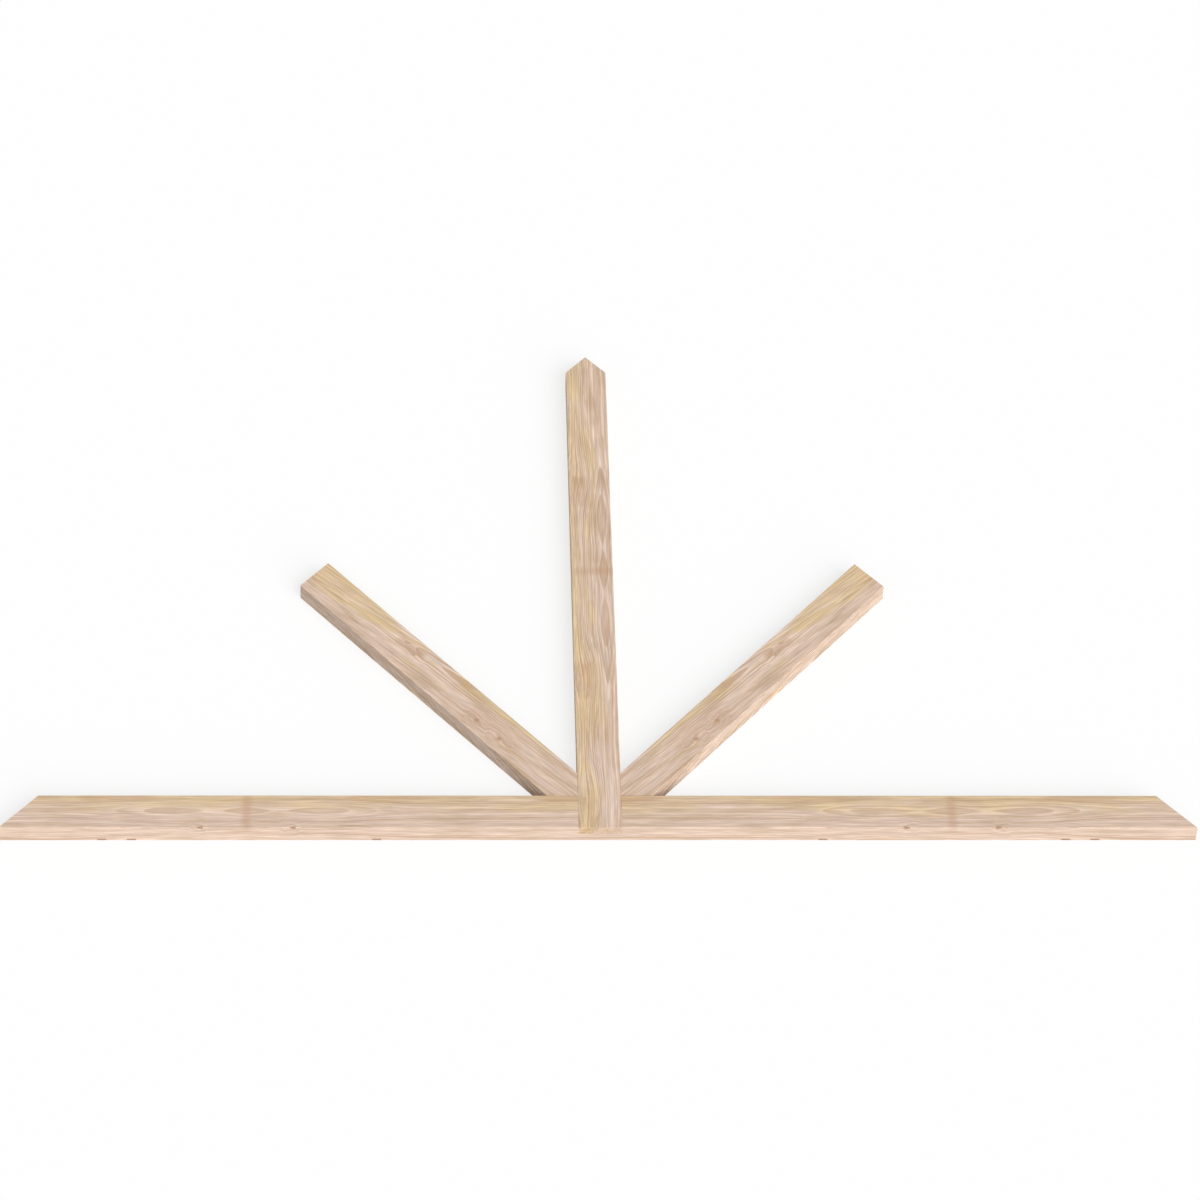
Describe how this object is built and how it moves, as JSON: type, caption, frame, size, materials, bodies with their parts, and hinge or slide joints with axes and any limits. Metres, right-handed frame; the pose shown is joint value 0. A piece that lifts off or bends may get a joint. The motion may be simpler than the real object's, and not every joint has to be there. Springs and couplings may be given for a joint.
{
  "type": "timber gable bracket",
  "caption": "Open timber gable bracket of dressed softwood: level bottom chord, king post to the peak and struts up to the roof line, outer ends cut to a 14 in 12 pitch.",
  "frame": {"origin": "where the centre lines of the bottom chord and the king post cross, on the back face", "axes": "+X along the chord to the right as seen from the front, +Y up the king post towards the peak, +Z from the back face out of the front face; the bracket lies on its back"},
  "size_m": [2.4384, 1.4223, 0.0381],
  "materials": {
    "chord_wood": "planed bare softwood with its grain along the timber",
    "post_wood": "planed bare softwood with its grain along the timber",
    "strut_wood": "planed bare softwood with its grain along the timber"
  },
  "bodies": {
    "root": {"bottom_chord": "chord_wood", "king_post": "post_wood", "left_strut": "strut_wood", "right_strut": "strut_wood"}
  },
  "joints": []
}
